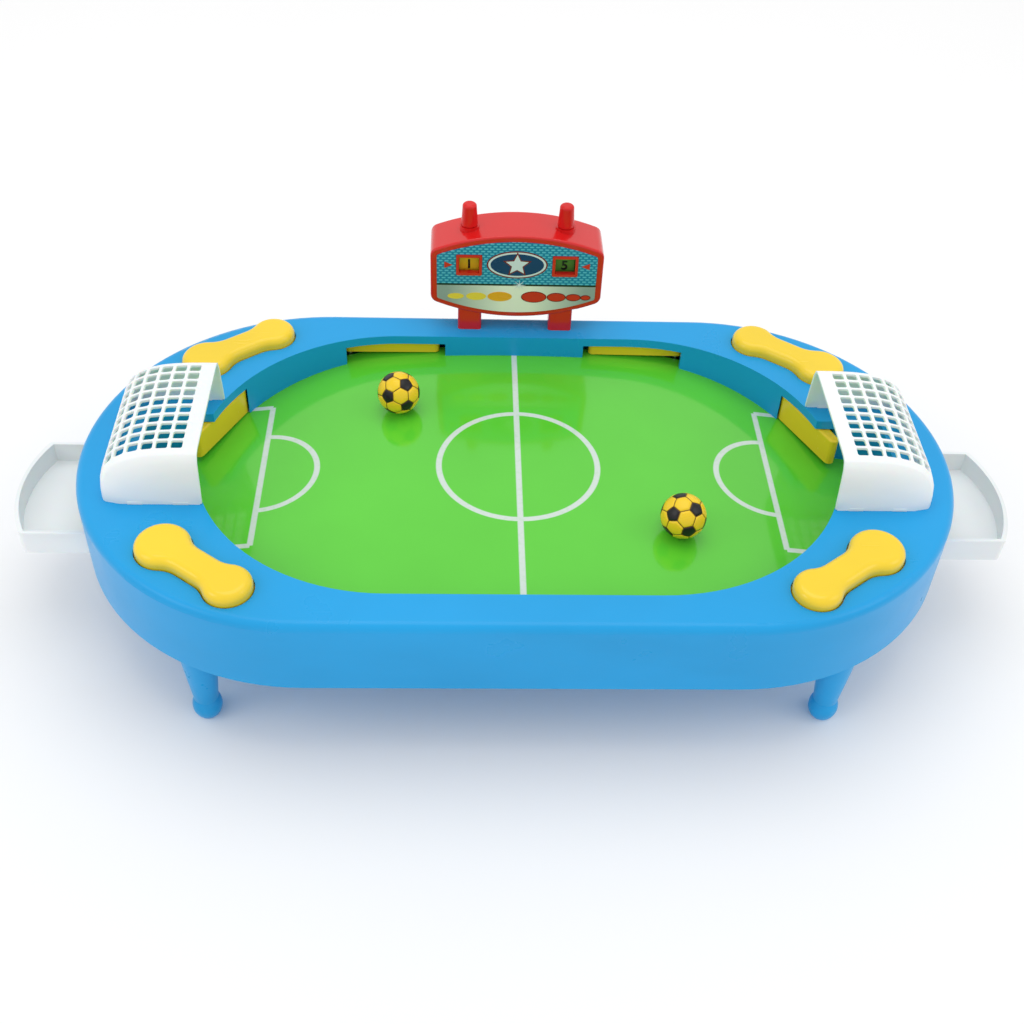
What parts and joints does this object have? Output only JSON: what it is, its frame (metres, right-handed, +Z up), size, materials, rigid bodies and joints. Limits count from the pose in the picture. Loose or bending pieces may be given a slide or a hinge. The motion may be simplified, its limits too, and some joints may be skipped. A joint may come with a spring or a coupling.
{
  "type": "tabletop football game",
  "caption": "Tabletop football game: a crowned green pitch in a stadium-shaped table on legs, with sprung buttons that kick paddles, net goals, ball trays and a scoreboard.",
  "frame": {"origin": "middle of the footprint, on the surface the legs stand on", "axes": "+X to the right goal, +Y to the scoreboard, +Z up"},
  "size_m": [0.5, 0.245, 0.159],
  "materials": {
    "blue_plastic": "satin moulded ABS",
    "green_pitch": "glossy printed sheet",
    "white_plastic": "satin moulded plastic",
    "yellow_plastic": "glossy moulded plastic",
    "red_plastic": "glossy moulded plastic",
    "label_print": "printed label",
    "score_drum": "glossy moulded plastic",
    "ball": "printed ball",
    "steel": "zinc plated steel"
  },
  "bodies": {
    "table": {"upper_shell": "blue_plastic", "pitch_board": "green_pitch", "base_cover": "blue_plastic", "goal_left": "white_plastic", "goal_right": "white_plastic", "tray_left": "white_plastic", "tray_right": "white_plastic", "paddle_pins": "steel", "case_screws": "steel", "scoreboard_front": "red_plastic", "scoreboard_back": "red_plastic", "scoreboard_label": "label_print", "leg_front_left": "blue_plastic", "button_spring_front_left": "steel", "leg_front_right": "blue_plastic", "button_spring_front_right": "steel", "leg_rear_left": "blue_plastic", "button_spring_rear_left": "steel", "leg_rear_right": "blue_plastic", "button_spring_rear_right": "steel"},
    "button_front_left": {"button_front_left": "yellow_plastic"},
    "side_paddle_front_left": {"side_paddle_front_left": "yellow_plastic"},
    "goal_paddle_front_left": {"goal_paddle_front_left": "yellow_plastic"},
    "button_front_right": {"button_front_right": "yellow_plastic"},
    "side_paddle_front_right": {"side_paddle_front_right": "yellow_plastic"},
    "goal_paddle_front_right": {"goal_paddle_front_right": "yellow_plastic"},
    "button_rear_left": {"button_rear_left": "yellow_plastic"},
    "side_paddle_rear_left": {"side_paddle_rear_left": "yellow_plastic"},
    "goal_paddle_rear_left": {"goal_paddle_rear_left": "yellow_plastic"},
    "button_rear_right": {"button_rear_right": "yellow_plastic"},
    "side_paddle_rear_right": {"side_paddle_rear_right": "yellow_plastic"},
    "goal_paddle_rear_right": {"goal_paddle_rear_right": "yellow_plastic"},
    "score_drum_left": {"score_drum_left": "score_drum"},
    "score_drum_right": {"score_drum_right": "score_drum"},
    "ball_left": {"ball_left": "ball"},
    "ball_right": {"ball_right": "ball"}
  },
  "joints": [
    {"name": "press_front_left", "type": "slide", "parent": "table", "child": "button_front_left", "axis": [0, 0, -1], "range_m": [0, 0.005], "stiffness_N_per_m": 500, "springref_m": -0.002, "deforming": ["button_spring_front_left"]},
    {"name": "side_kick_front_left", "type": "hinge", "parent": "table", "child": "side_paddle_front_left", "pos_m": [-0.091, -0.1085, 0.074], "axis": [0, 0, 1], "range_deg": [0, 25]},
    {"name": "goal_kick_front_left", "type": "hinge", "parent": "table", "child": "goal_paddle_front_left", "pos_m": [-0.1462, -0.0622, 0.074], "axis": [0, 0, 1], "range_deg": [-25, 0]},
    {"name": "press_front_right", "type": "slide", "parent": "table", "child": "button_front_right", "axis": [0, 0, -1], "range_m": [0, 0.005], "stiffness_N_per_m": 500, "springref_m": -0.002, "deforming": ["button_spring_front_right"]},
    {"name": "side_kick_front_right", "type": "hinge", "parent": "table", "child": "side_paddle_front_right", "pos_m": [0.091, -0.1085, 0.074], "axis": [0, 0, 1], "range_deg": [-25, 0]},
    {"name": "goal_kick_front_right", "type": "hinge", "parent": "table", "child": "goal_paddle_front_right", "pos_m": [0.1462, -0.0622, 0.074], "axis": [0, 0, 1], "range_deg": [0, 25]},
    {"name": "press_rear_left", "type": "slide", "parent": "table", "child": "button_rear_left", "axis": [0, 0, -1], "range_m": [0, 0.005], "stiffness_N_per_m": 500, "springref_m": -0.002, "deforming": ["button_spring_rear_left"]},
    {"name": "side_kick_rear_left", "type": "hinge", "parent": "table", "child": "side_paddle_rear_left", "pos_m": [-0.091, 0.0955, 0.074], "axis": [0, 0, 1], "range_deg": [-25, 0]},
    {"name": "goal_kick_rear_left", "type": "hinge", "parent": "table", "child": "goal_paddle_rear_left", "pos_m": [-0.1462, 0.0492, 0.074], "axis": [0, 0, 1], "range_deg": [0, 25]},
    {"name": "press_rear_right", "type": "slide", "parent": "table", "child": "button_rear_right", "axis": [0, 0, -1], "range_m": [0, 0.005], "stiffness_N_per_m": 500, "springref_m": -0.002, "deforming": ["button_spring_rear_right"]},
    {"name": "side_kick_rear_right", "type": "hinge", "parent": "table", "child": "side_paddle_rear_right", "pos_m": [0.091, 0.0955, 0.074], "axis": [0, 0, 1], "range_deg": [0, 25]},
    {"name": "goal_kick_rear_right", "type": "hinge", "parent": "table", "child": "goal_paddle_rear_right", "pos_m": [0.1462, 0.0492, 0.074], "axis": [0, 0, 1], "range_deg": [-25, 0]},
    {"name": "score_turn_left", "type": "hinge", "parent": "table", "child": "score_drum_left", "pos_m": [-0.0255, 0.1095, 0.13], "axis": [0, 0, 1], "continuous": true},
    {"name": "score_turn_right", "type": "hinge", "parent": "table", "child": "score_drum_right", "pos_m": [0.0255, 0.1095, 0.13], "axis": [0, 0, 1], "continuous": true},
    {"name": "lift_ball_left", "type": "slide", "parent": "table", "child": "ball_left", "axis": [0, 0, 1], "range_m": [0, 0.05]},
    {"name": "lift_ball_right", "type": "slide", "parent": "table", "child": "ball_right", "axis": [0, 0, 1], "range_m": [0, 0.05]}
  ],
  "couplings": [
    {"joint": "side_kick_front_left", "follows": "press_front_left", "rad_per_m": 87.26},
    {"joint": "goal_kick_front_left", "follows": "press_front_left", "rad_per_m": -87.26},
    {"joint": "side_kick_front_right", "follows": "press_front_right", "rad_per_m": -87.26},
    {"joint": "goal_kick_front_right", "follows": "press_front_right", "rad_per_m": 87.26},
    {"joint": "side_kick_rear_left", "follows": "press_rear_left", "rad_per_m": -87.26},
    {"joint": "goal_kick_rear_left", "follows": "press_rear_left", "rad_per_m": 87.26},
    {"joint": "side_kick_rear_right", "follows": "press_rear_right", "rad_per_m": 87.26},
    {"joint": "goal_kick_rear_right", "follows": "press_rear_right", "rad_per_m": -87.26}
  ]
}
